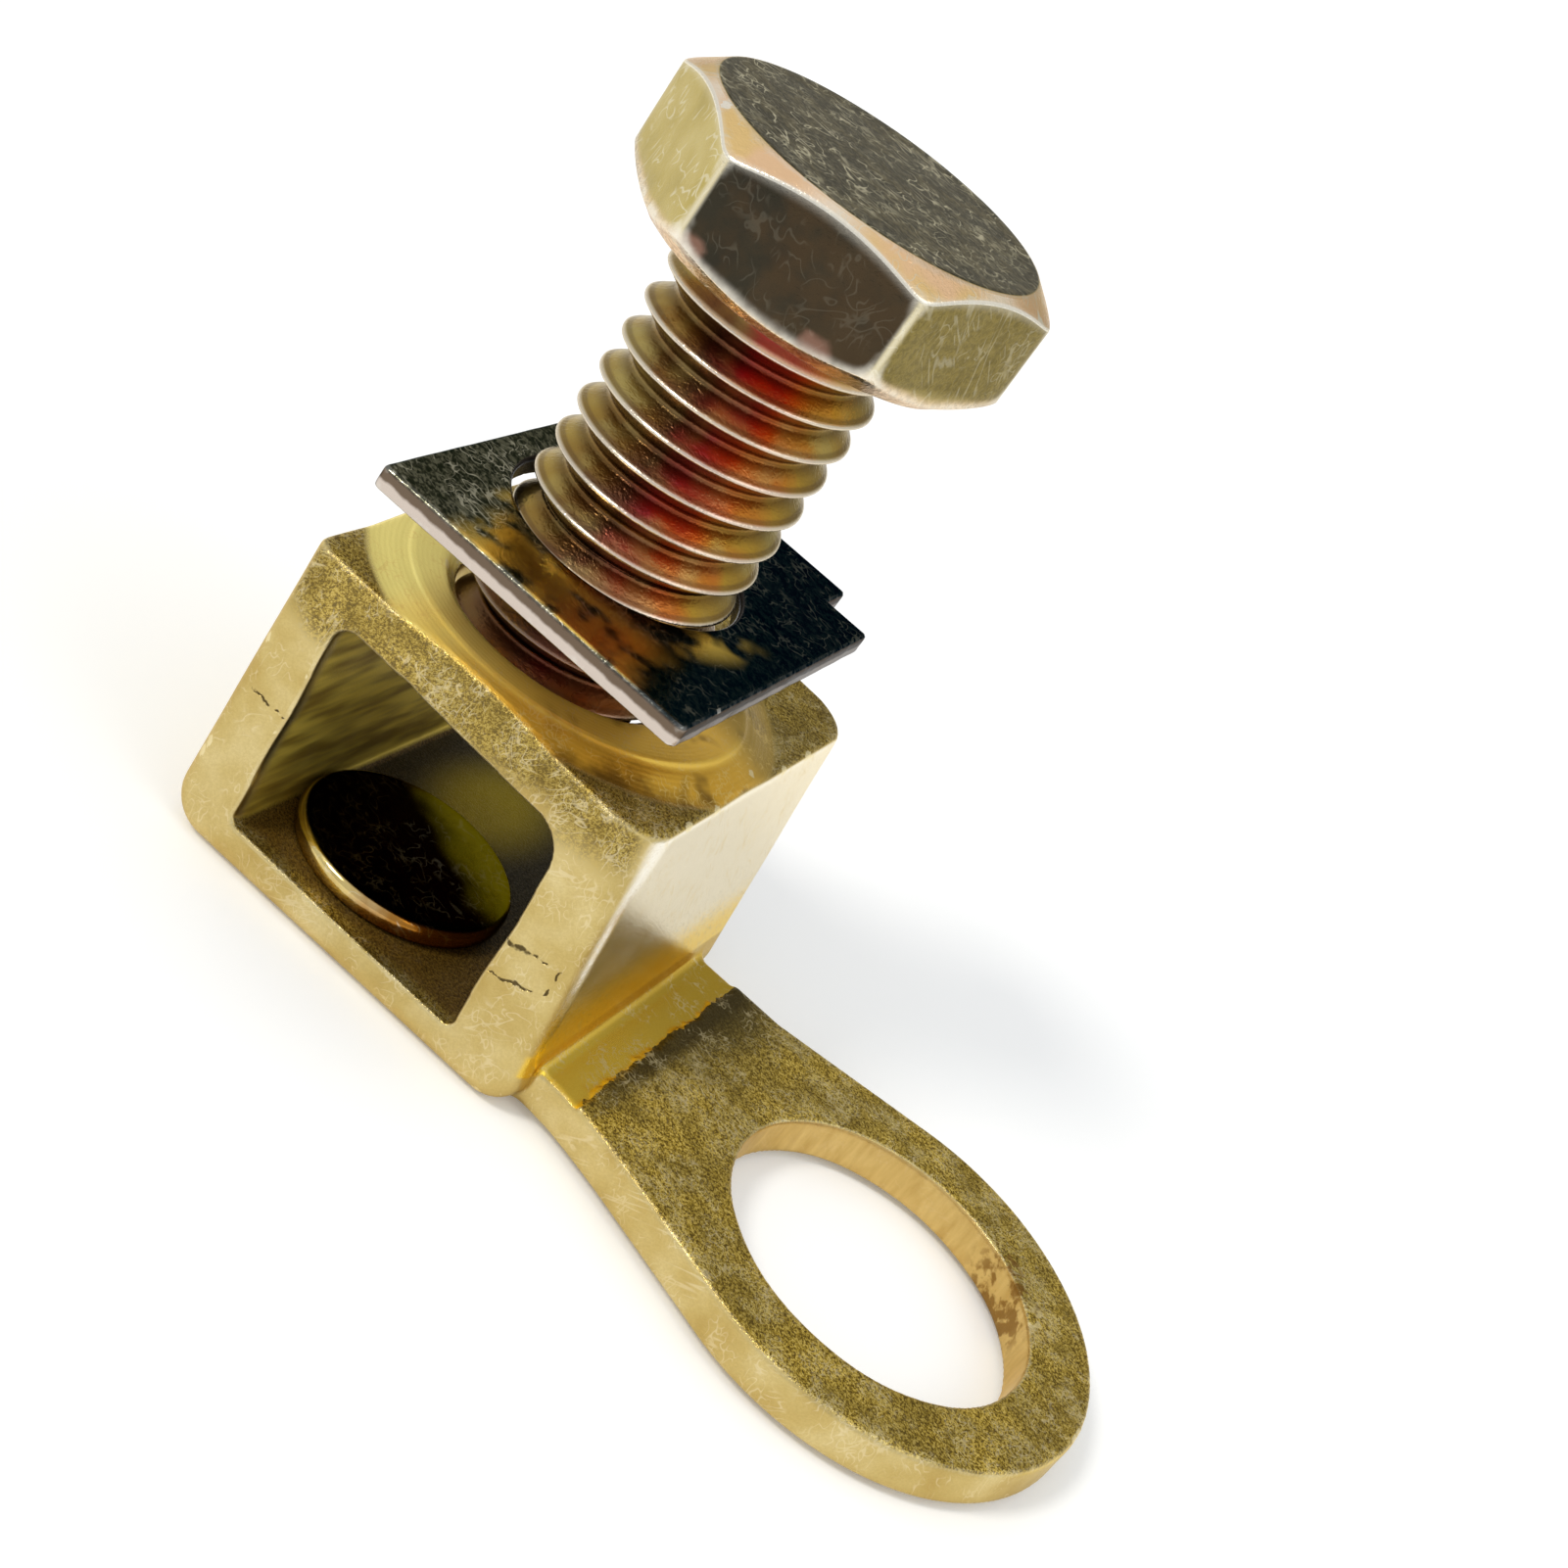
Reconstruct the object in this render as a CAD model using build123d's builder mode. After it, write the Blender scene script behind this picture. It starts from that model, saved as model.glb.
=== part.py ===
"""Battery terminal clamp: a cast brass lug with a cable cage and a ring, a hex bolt
screwed down through the cage roof, a loose notched plate washer on the bolt, and a
loose pressure disc on the cage floor.

Frame: millimetres. The bolt's axis is the Z axis, the underside of the cage is Z = 0,
+X runs along the tab from the cage to the ring, and the cable goes in along +Y.
"""
import os
from math import asin, atan2, cos, degrees, hypot, radians, sin, sqrt, tan

from build123d import *

# ---------------------------------------------------------------- driving sizes
# cage: a box with sloping right and back walls
CAGE_H = 13.65            # underside to the cast flats of the roof
CAGE_LEFT_TOP = 7.75      # bolt axis to the left wall's outside, at the roof
CAGE_LEFT_FOOT = 7.45     # the same at the underside
CAGE_RIGHT_TOP = 9.35     # bolt axis to the milled right wall, at the roof
CAGE_RIGHT_FOOT = 10.90   # the same at the underside
CAGE_FRONT = 7.90         # bolt axis to the front face, where the cable goes in
CAGE_BACK_TOP = 12.00     # bolt axis to the back face, at the roof
CAGE_BACK_FOOT = 11.30    # the same at the underside
CAGE_HEEL_R = 1.80        # lower left and right edges of the cage
CAGE_FRONT_R = 1.00       # edges round the front face
CAGE_BACK_R = 1.60        # edges round the back face

# cable passage, straight through the cage
FLOOR_T = 1.70            # floor under the cable
ROOF_T = 1.95             # roof the bolt is screwed through
PASS_LEFT_TOP = 5.10      # bolt axis to the left side of the passage, at the roof
PASS_LEFT_FLOOR = 4.65    # the same at the floor
PASS_RIGHT_TOP = 6.60     # bolt axis to the right side of the passage, at the roof
PASS_RIGHT_FLOOR = 7.15   # the same at the floor
PASS_SAG = 0.40           # the roof's underside is lower at the right
PASS_FLOOR_R = 0.30       # the passage's lower corners
PASS_ROOF_R = 0.80        # its upper left corner
PASS_SAG_R = 1.60         # its upper right corner

# turned seat on the roof, and the hole for the bolt
SEAT_H = 0.40             # height over the cast flats
SEAT_R = 7.75             # flat top of the seat
SEAT_FOOT_R = 9.50        # foot of the seat's conical flank
MOUTH_R = 5.60            # countersunk mouth of the bolt hole
MOUTH_DEPTH = 0.60

# tab and ring
TAB_T = 1.95              # thickness of the tab and the ring
TAB_LIFT = 0.35           # the tab's underside over the cage's underside
NECK_FRONT = 6.35         # bolt axis to the tab's front edge at the neck
NECK_BACK = 8.20          # bolt axis to the tab's back edge at the neck
NECK_FRONT_END = 12.40    # where the front edge starts to flare out
NECK_BACK_END = 15.20     # where the back edge starts to flare out
NECK_BLEND_R = 5.00       # blend where the edges start to flare
RING_X = 25.10            # bolt axis to the ring's centre
RING_R = 10.20            # outside of the ring
STUD_R = 7.07             # the ring's hole, for the stud of the battery or cable
BAND_END = 12.75          # end of the milled band at the foot of the right wall
BAND_DEPTH = 0.14
BAND_R = 0.60             # fillet between the band and the wall
STUD_RIM_C = 0.25         # broken rims of that hole

# hex bolt, 3/8-16
BOLT_R = 4.7625           # over the thread
BOLT_TIP = 12.10          # height of the bolt's tip, inside the roof
THREAD_PITCH = 1.5875     # right-hand thread, 16 turns to the inch
THREAD_ANGLE = 60.0       # between the flanks, degrees
THREAD_DEPTH = 0.90       # crest to root
THREAD_CREST = 0.20       # width of the flat crest
THREAD_END = 0.95         # the ridge ends this far under the head
THREAD_SINK = 0.07        # how deep the ridge's foot is let into the core
HEAD_SEAT = 30.20         # height of the bearing face under the head
HEAD_AF = 14.2875         # across the flats
HEAD_T = 5.35             # bearing face to the top of the head
HEAD_TURN = 12.0          # one corner's angle from +X, degrees
HEAD_FACE_R = 6.80        # round bearing face under the head
HEAD_FACE_T = 0.30
HEAD_TOP_R = 6.85         # flat circle on top, inside the chamfer
HEAD_CHAMFER_DROP = 1.00  # how far the chamfer falls at the corners

# plate washer
WASHER_T = 1.00
WASHER_Z = 17.60          # its underside, part of the way up the thread
WASHER_W = 14.55          # across its two straight sides
WASHER_FRONT = 9.35       # bolt axis to its front edge
WASHER_SHOULDER = 8.15    # bolt axis to its back edge beside the tongue
WASHER_TONGUE = 10.10     # bolt axis to the tongue's end
WASHER_NOTCH = 2.15       # width of the notch each side of the tongue
WASHER_CORNER_R = 0.25
WASHER_SHIFT = 0.85       # bolt axis to its centreline, as it hangs off to +X
WASHER_HOLE_OFF = 0.30    # its hole lies this far back from its centreline

# pressure disc on the cage floor
DISC_R = 4.80
DISC_T = 1.05
DISC_X = 0.25             # where it lies on the floor
DISC_Y = -2.00
DISC_EDGE_C = 0.25

# clearances
THREAD_GAP = 0.05         # bolt thread to its hole in the roof
WASHER_GAP = 0.10         # least gap between the bolt thread and the washer's hole

# ---------------------------------------------------------------- derived sizes
TAB_TOP = TAB_LIFT + TAB_T
PASS_TOP = CAGE_H - ROOF_T
HOLE_R = BOLT_R + THREAD_GAP
WASHER_HOLE_X = WASHER_SHIFT - WASHER_HOLE_OFF
WASHER_HOLE_R = BOLT_R + WASHER_HOLE_X + WASHER_GAP
HEAD_CORNER_R = HEAD_AF / sqrt(3)
HEAD_TOP = HEAD_SEAT + HEAD_T
WALL_X_AT_BAND = CAGE_RIGHT_FOOT + (CAGE_RIGHT_TOP - CAGE_RIGHT_FOOT) * (TAB_TOP - BAND_DEPTH) / CAGE_H
FAR = 3 * RING_X          # long enough to run past the whole part


def ring_tangent(x, y):
    """Where a line from (x, y) touches the outside of the ring, on the point's own side."""
    dx, dy = RING_X - x, -y
    side = 1 if y > 0 else -1
    angle = atan2(dy, dx) + side * asin(RING_R / hypot(dx, dy))
    reach = sqrt(dx * dx + dy * dy - RING_R * RING_R)
    return (x + reach * cos(angle), y + reach * sin(angle))


# ---------------------------------------------------------------- lug
with BuildPart() as lug:
    # cage block: its end view drawn with both side walls' slopes, then the back wall's slope cut
    block_top = CAGE_H + SEAT_H
    rise = block_top / CAGE_H
    right_top = CAGE_RIGHT_FOOT + (CAGE_RIGHT_TOP - CAGE_RIGHT_FOOT) * rise
    left_top = CAGE_LEFT_FOOT + (CAGE_LEFT_TOP - CAGE_LEFT_FOOT) * rise
    back_lean = (CAGE_BACK_TOP - CAGE_BACK_FOOT) / CAGE_H
    with BuildSketch(Plane.XZ.offset(CAGE_FRONT)):
        with BuildLine():
            Polyline((-CAGE_LEFT_FOOT, 0), (CAGE_RIGHT_FOOT, 0), (right_top, block_top),
                     (-left_top, block_top), close=True)
        make_face()
    extrude(amount=-(CAGE_FRONT + 2 * CAGE_BACK_TOP))
    with BuildSketch(Plane.YZ.offset(-FAR)):
        with BuildLine():
            Polyline((CAGE_BACK_FOOT - back_lean * SEAT_H, -SEAT_H),
                     (CAGE_BACK_FOOT + back_lean * (block_top + SEAT_H), block_top + SEAT_H),
                     (FAR, block_top + SEAT_H), (FAR, -SEAT_H), close=True)
        make_face()
    extrude(amount=2 * FAR, mode=Mode.SUBTRACT)

    # lower edges along the passage first, then the outlines of the front and the back face,
    # which run smoothly round those
    fillet(lug.edges().group_by(Axis.Z)[0].filter_by(Axis.Y), CAGE_HEEL_R)
    uprights = lug.edges().filter_by(lambda e: abs(e.tangent_at(0.5).Z) > 0.9)
    fillet(uprights.group_by(Axis.Y)[0], CAGE_FRONT_R)
    uprights = lug.edges().filter_by(lambda e: abs(e.tangent_at(0.5).Z) > 0.9)
    fillet(uprights.group_by(Axis.Y)[-1], CAGE_BACK_R)

    # turned seat: everything on the roof outside its conical flank goes down to the cast flats
    with BuildSketch(Plane.XZ):
        with BuildLine():
            Polyline((SEAT_R, CAGE_H + SEAT_H), (SEAT_FOOT_R, CAGE_H), (FAR, CAGE_H),
                     (FAR, CAGE_H + 2 * SEAT_H), (SEAT_R, CAGE_H + 2 * SEAT_H), close=True)
        make_face()
    revolve(axis=Axis.Z, mode=Mode.SUBTRACT)

    # tab: neck with flared edges running into the ring
    with BuildSketch(Plane.XY.offset(TAB_LIFT)) as tab_plan:
        with BuildLine():
            Polyline((CAGE_LEFT_FOOT, -NECK_FRONT), (NECK_FRONT_END, -NECK_FRONT),
                     ring_tangent(NECK_FRONT_END, -NECK_FRONT), (RING_X, 0),
                     ring_tangent(NECK_BACK_END, NECK_BACK), (NECK_BACK_END, NECK_BACK),
                     (CAGE_LEFT_FOOT, NECK_BACK), close=True)
        make_face()
        with Locations((RING_X, 0)):
            Circle(RING_R)
        flares = [v for v in tab_plan.vertices()
                  if abs(v.X - NECK_FRONT_END) < 0.01 or abs(v.X - NECK_BACK_END) < 0.01]
        fillet(flares, NECK_BLEND_R)
    extrude(amount=TAB_T - BAND_DEPTH)

    # beyond the milled band the tab keeps its cast surface, a small step higher
    with BuildSketch(Plane.XY.offset(TAB_TOP - BAND_DEPTH)):
        add(tab_plan.sketch_local)
        with Locations((BAND_END - FAR / 2, 0)):
            Rectangle(FAR, FAR, mode=Mode.SUBTRACT)
    extrude(amount=BAND_DEPTH)

    # hole for the stud
    with BuildSketch(Plane.XY.offset(TAB_LIFT)):
        with Locations((RING_X, 0)):
            Circle(STUD_R)
    extrude(amount=TAB_T, mode=Mode.SUBTRACT)

    # cable passage, front to back
    with BuildSketch(Plane.XZ.offset(CAGE_FRONT + 1)) as passage:
        with BuildLine():
            Polyline((-PASS_LEFT_FLOOR, FLOOR_T), (PASS_RIGHT_FLOOR, FLOOR_T),
                     (PASS_RIGHT_TOP, PASS_TOP - PASS_SAG), (-PASS_LEFT_TOP, PASS_TOP), close=True)
        make_face()
        fillet(passage.vertices().sort_by(Axis.Y)[2], PASS_SAG_R)
        fillet(passage.vertices().sort_by(Axis.Y)[-1], PASS_ROOF_R)
        fillet(passage.vertices().group_by(Axis.Y)[0], PASS_FLOOR_R)
    extrude(amount=-FAR, mode=Mode.SUBTRACT)

    # bolt hole with its countersunk mouth
    with BuildSketch(Plane.XZ):
        with BuildLine():
            Polyline((0, FLOOR_T + ROOF_T), (HOLE_R, FLOOR_T + ROOF_T),
                     (HOLE_R, CAGE_H + SEAT_H - MOUTH_DEPTH), (MOUTH_R, CAGE_H + SEAT_H),
                     (MOUTH_R, CAGE_H + 2 * SEAT_H), (0, CAGE_H + 2 * SEAT_H), close=True)
        make_face()
    revolve(axis=Axis.Z, mode=Mode.SUBTRACT)

    # fillet at the foot of the milled wall, left by the cutter's corner
    lean = degrees(atan2(CAGE_RIGHT_FOOT - CAGE_RIGHT_TOP, CAGE_H))
    reach = BAND_R / tan(radians(90 + lean) / 2)
    with BuildSketch(Plane.XZ.offset(NECK_FRONT)):
        with BuildLine():
            foot = (WALL_X_AT_BAND, TAB_TOP - BAND_DEPTH)
            toe = (foot[0] + reach, foot[1])
            arc = JernArc(start=toe, tangent=(-1, 0), radius=BAND_R, arc_size=lean - 90)
            Polyline(arc @ 1, foot, toe)
        make_face()
    extrude(amount=-(NECK_FRONT + NECK_BACK))

    # broken rims of the stud's hole
    rims = [e for e in lug.edges().filter_by(GeomType.CIRCLE)
            if abs(e.radius - STUD_R) < 0.01 and abs(e.arc_center.X - RING_X) < 0.01]
    chamfer(rims, STUD_RIM_C)
lug.part.label = "lug"

# ---------------------------------------------------------------- bolt
# the thread's ridge, wound up a right-hand helix that starts under the bolt's tip
with BuildPart() as thread_ridge:
    ridge_from = BOLT_TIP - 1.08 * THREAD_PITCH
    root_r = BOLT_R - THREAD_DEPTH - THREAD_SINK
    foot = THREAD_CREST / 2 + (THREAD_DEPTH + THREAD_SINK) * tan(radians(THREAD_ANGLE / 2))
    with BuildLine() as winding:
        Helix(pitch=THREAD_PITCH, height=HEAD_SEAT - THREAD_END - ridge_from, radius=BOLT_R,
              center=(0, 0, ridge_from))
    with BuildSketch(Plane.XZ) as ridge:
        with BuildLine():
            Polyline((BOLT_R, ridge_from - THREAD_CREST / 2), (root_r, ridge_from - foot),
                     (root_r, ridge_from + foot), (BOLT_R, ridge_from + THREAD_CREST / 2), close=True)
        make_face()
    sweep(sections=ridge.sketch, path=winding.line, is_frenet=True)

with BuildPart() as bolt:
    # core of the shank with the ridge on it, trimmed to the shank's length
    with BuildSketch(Plane.XY.offset(BOLT_TIP)):
        Circle(BOLT_R - THREAD_DEPTH)
    extrude(amount=HEAD_SEAT - BOLT_TIP)
    add(thread_ridge.part)
    with BuildSketch(Plane.XY.offset(BOLT_TIP)):
        Circle(3 * BOLT_R)
    extrude(amount=HEAD_SEAT - BOLT_TIP, mode=Mode.INTERSECT)

    # head: hexagon, its chamfer turned on top, and the round bearing face below
    with BuildSketch(Plane.XY.offset(HEAD_SEAT + HEAD_FACE_T)):
        RegularPolygon(HEAD_CORNER_R, 6, rotation=HEAD_TURN)
    extrude(amount=HEAD_T - HEAD_FACE_T)
    with BuildSketch(Plane.XZ):
        with BuildLine():
            Polyline((HEAD_TOP_R, HEAD_TOP), (HEAD_CORNER_R, HEAD_TOP - HEAD_CHAMFER_DROP),
                     (FAR, HEAD_TOP - HEAD_CHAMFER_DROP), (FAR, FAR), (HEAD_TOP_R, FAR), close=True)
        make_face()
    revolve(axis=Axis.Z, mode=Mode.SUBTRACT)
    with BuildSketch(Plane.XY.offset(HEAD_SEAT)):
        Circle(HEAD_FACE_R)
    extrude(amount=HEAD_FACE_T)
bolt.part.label = "bolt"

# ---------------------------------------------------------------- plate washer
with BuildPart() as washer:
    with BuildSketch(Plane.XY.offset(WASHER_Z)) as plate:
        half = WASHER_W / 2
        tongue = half - WASHER_NOTCH
        with Locations((WASHER_SHIFT, 0)):
            with BuildLine():
                Polyline((-half, -WASHER_FRONT), (half, -WASHER_FRONT), (half, WASHER_SHOULDER),
                         (tongue, WASHER_SHOULDER), (tongue, WASHER_TONGUE), (-tongue, WASHER_TONGUE),
                         (-tongue, WASHER_SHOULDER), (-half, WASHER_SHOULDER), close=True)
            make_face()
        fillet(plate.vertices(), WASHER_CORNER_R)
        with Locations((WASHER_HOLE_X, 0)):
            Circle(WASHER_HOLE_R, mode=Mode.SUBTRACT)
    extrude(amount=WASHER_T)
washer.part.label = "washer"

# ---------------------------------------------------------------- pressure disc
with BuildPart() as disc:
    with BuildSketch(Plane.XY.offset(FLOOR_T)):
        with Locations((DISC_X, DISC_Y)):
            Circle(DISC_R)
    extrude(amount=DISC_T)
    chamfer(disc.edges().filter_by(GeomType.CIRCLE), DISC_EDGE_C)
disc.part.label = "pressure_disc"

# ---------------------------------------------------------------- files
os.makedirs("parts", exist_ok=True)
export_step(lug.part, "parts/lug.step")
export_step(bolt.part, "parts/bolt.step")
export_step(washer.part, "parts/washer.step")
export_step(disc.part, "parts/pressure_disc.step")
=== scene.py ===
"""Battery terminal clamp: detailed pieces, plated and cast metal materials, studio and camera.

Every length in the helpers below is in millimetres in the part's own frame; MM turns it into metres.
"""
import math

import bmesh
import bpy
import numpy as np
from mathutils import Matrix, Vector


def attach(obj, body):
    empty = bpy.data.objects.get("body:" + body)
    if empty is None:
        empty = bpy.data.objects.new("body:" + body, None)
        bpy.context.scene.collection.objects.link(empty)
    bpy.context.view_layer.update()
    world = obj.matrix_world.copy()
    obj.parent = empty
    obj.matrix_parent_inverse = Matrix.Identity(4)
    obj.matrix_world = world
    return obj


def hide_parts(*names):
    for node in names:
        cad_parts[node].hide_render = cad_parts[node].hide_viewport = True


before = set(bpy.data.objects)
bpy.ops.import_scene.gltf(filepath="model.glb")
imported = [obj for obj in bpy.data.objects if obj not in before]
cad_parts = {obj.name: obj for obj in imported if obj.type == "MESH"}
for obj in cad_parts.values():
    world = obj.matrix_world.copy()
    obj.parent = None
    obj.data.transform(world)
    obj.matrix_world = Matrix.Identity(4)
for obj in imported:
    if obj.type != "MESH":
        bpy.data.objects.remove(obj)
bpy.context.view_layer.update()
MM = 0.001
scene = bpy.context.scene


# ------------------------------------------------------------------ shapes from distance fields
def rand_field(seed, count, low, high):
    """Directions, frequencies and phases for a smooth seeded noise made of sines."""
    rng = np.random.default_rng(seed)
    way = rng.normal(size=(count, 3))
    way /= np.linalg.norm(way, axis=1)[:, None]
    return way * rng.uniform(low, high, (count, 1)), rng.uniform(0, 6.283, count)


def ripple(x, y, z, field):
    """Smooth noise from -1 to 1 at the points."""
    ways, phases = field
    total = 0.0
    for way, phase in zip(ways, phases):
        total = total + np.sin(x * way[0] + y * way[1] + z * way[2] + phase)
    return total / len(ways) * 1.4


def meet(a, b, r):
    """Intersection of two fields, with the edge between them rounded to radius r."""
    return np.minimum(np.maximum(a, b), -r) + np.hypot(np.maximum(a + r, 0), np.maximum(b + r, 0))


def join(a, b, r):
    """Union of two fields, with a fillet of radius r in the inner corner."""
    return -meet(-a, -b, r)


def ramp(v, a, b):
    """0 up to a, 1 from b on, and smooth between them."""
    t = np.clip((v - a) / (b - a), 0, 1)
    return t * t * (3 - 2 * t)


def surface(name, field, low, high, cell, keep=None):
    """Mesh of the zero surface of field(x, y, z) in the box, with about keep triangles."""
    low, high = np.array(low, float), np.array(high, float)
    n = np.ceil((high - low) / cell).astype(int) + 1
    axes = [low[i] + cell * np.arange(n[i]) for i in range(3)]
    d = field(axes[0][:, None, None], axes[1][None, :, None], axes[2][None, None, :])
    d = np.broadcast_to(d, tuple(n)).astype(np.float32)
    inside = d < 0
    points = np.zeros(tuple(n - 1) + (3,), np.float32)
    hits = np.zeros(tuple(n - 1), np.float32)
    corner = [(0, 0, 0), (1, 0, 0), (0, 1, 0), (1, 1, 0), (0, 0, 1), (1, 0, 1), (0, 1, 1), (1, 1, 1)]
    for i in range(8):
        for axis in range(3):
            if corner[i][axis]:
                continue
            far = list(corner[i])
            far[axis] = 1
            a = d[tuple(slice(c, c + n[k] - 1) for k, c in enumerate(corner[i]))]
            b = d[tuple(slice(c, c + n[k] - 1) for k, c in enumerate(far))]
            cross = (a < 0) != (b < 0)
            t = np.where(cross, a / np.where(cross, a - b, 1), 0)
            hits += cross
            for k in range(3):
                points[..., k] += cross * (corner[i][k] + (t if k == axis else 0))
    used = hits > 0
    index = -np.ones(used.shape, np.int64)
    index[used] = np.arange(used.sum())
    where = np.argwhere(used)
    verts = (where + points[used] / hits[used][:, None]) * cell + low
    quads = []
    for axis in range(3):
        b1, b2 = (axis + 1) % 3, (axis + 2) % 3
        here = [slice(1, -1)] * 3
        here[axis] = slice(0, n[axis] - 1)
        there = list(here)
        there[axis] = slice(1, n[axis])
        a, b = inside[tuple(here)], inside[tuple(there)]
        for flip in (False, True):
            at = np.argwhere((a & ~b) if not flip else (~a & b))
            at[:, b1] += 1
            at[:, b2] += 1
            four = []
            for s1, s2 in ((-1, -1), (0, -1), (0, 0), (-1, 0)):
                c = at.copy()
                c[:, b1] += s1
                c[:, b2] += s2
                four.append(index[c[:, 0], c[:, 1], c[:, 2]])
            four = np.stack(four, 1)
            quads.append(four[:, ::-1] if flip else four)
    quads = np.concatenate(quads)
    quads = quads[(quads >= 0).all(1)]
    mesh = bpy.data.meshes.new(name)
    mesh.from_pydata((verts * MM).tolist(), [], quads.tolist())
    mesh.update()
    piece = bpy.data.objects.new(name, mesh)
    scene.collection.objects.link(piece)
    if keep and 2 * len(quads) > keep:
        thin = piece.modifiers.new("thin", "DECIMATE")
        thin.ratio = keep / (2 * len(quads))
        apply_all(piece)
    for poly in piece.data.polygons:
        poly.use_smooth = True
    return piece


def apply_all(piece):
    """Turns the piece's modifiers into its mesh."""
    graph = bpy.context.evaluated_depsgraph_get()
    mesh = bpy.data.meshes.new_from_object(piece.evaluated_get(graph))
    piece.modifiers.clear()
    old = piece.data
    piece.data = mesh
    mesh.name = piece.name
    bpy.data.meshes.remove(old)


def grid_mesh(name, rows, closed=True):
    """Mesh through rows of points (rows x columns x 3, in mm), closed round the columns."""
    rows = np.asarray(rows, float)
    r, c = rows.shape[:2]
    last = c if closed else c - 1
    i, j = np.meshgrid(np.arange(r - 1), np.arange(last), indexing="ij")
    a = i * c + j
    b = i * c + (j + 1) % c
    faces = np.stack([a, b, b + c, a + c], -1).reshape(-1, 4)
    mesh = bpy.data.meshes.new(name)
    mesh.from_pydata((rows.reshape(-1, 3) * MM).tolist(), [], faces.tolist())
    mesh.update()
    piece = bpy.data.objects.new(name, mesh)
    scene.collection.objects.link(piece)
    for poly in mesh.polygons:
        poly.use_smooth = True
    return piece


# ------------------------------------------------------------------ lug
# each outer wall: where it stands at the foot, and how far it leans over the cage's height
CAGE_H = 13.65
LEFT, LEFT_LEAN = 7.45, 0.30
RIGHT, RIGHT_LEAN = 10.90, 1.55
FRONT, BACK, BACK_LEAN = 7.88, 11.3, 0.65
PASS_LEFT, PASS_RIGHT, PASS_TOP = 4.65, 7.15, 11.72
CAST_TOP, SEAT_TOP = 13.66, 14.04
SEAT = (0.3, 0.5)
SEAT_R, SEAT_FOOT_R, SEAT_STEP = 7.55, 9.3, (7.5, 7.75)
BORE_R, MOUTH_Z = 4.83, 13.42
FLOOR_Z = 1.72
RING_X, RING_R, STUD_R = 25.1, 10.17, 7.07
FRONT_NECK, BACK_NECK = (12.4, -6.35), (15.2, 8.2)
TAB_UNDER, TAB_TOP, MILLED = 0.36, 2.31, 0.15
BAND_X = 12.72
wave = rand_field(4, 14, 0.35, 1.1)
pits = rand_field(9, 18, 1.6, 3.6)


def polygon_distance(x, y, pts):
    """Signed distance in the plane to a closed polygon."""
    best = np.full(np.broadcast(x, y).shape, 1e9)
    odd = np.zeros(best.shape, bool)
    for (x0, y0), (x1, y1) in zip(pts, pts[1:] + pts[:1]):
        ex, ey = x1 - x0, y1 - y0
        t = np.clip(((x - x0) * ex + (y - y0) * ey) / (ex * ex + ey * ey), 0, 1)
        best = np.minimum(best, (x - x0 - t * ex) ** 2 + (y - y0 - t * ey) ** 2)
        if y1 != y0:
            across = (y0 > y) != (y1 > y)
            odd ^= across & (x < x0 + (y - y0) * ex / ey)
    return np.where(odd, -1, 1) * np.sqrt(best)


def touch(px, py, cx, r):
    """Where a line from the point touches a circle about (cx, 0), on the point's side."""
    dx, dy = cx - px, -py
    side = 1 if py > 0 else -1
    turn = math.atan2(dy, dx) + side * math.asin(r / math.hypot(dx, dy))
    reach = math.sqrt(dx * dx + dy * dy - r * r)
    return px + reach * math.cos(turn), py + reach * math.sin(turn)


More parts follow.
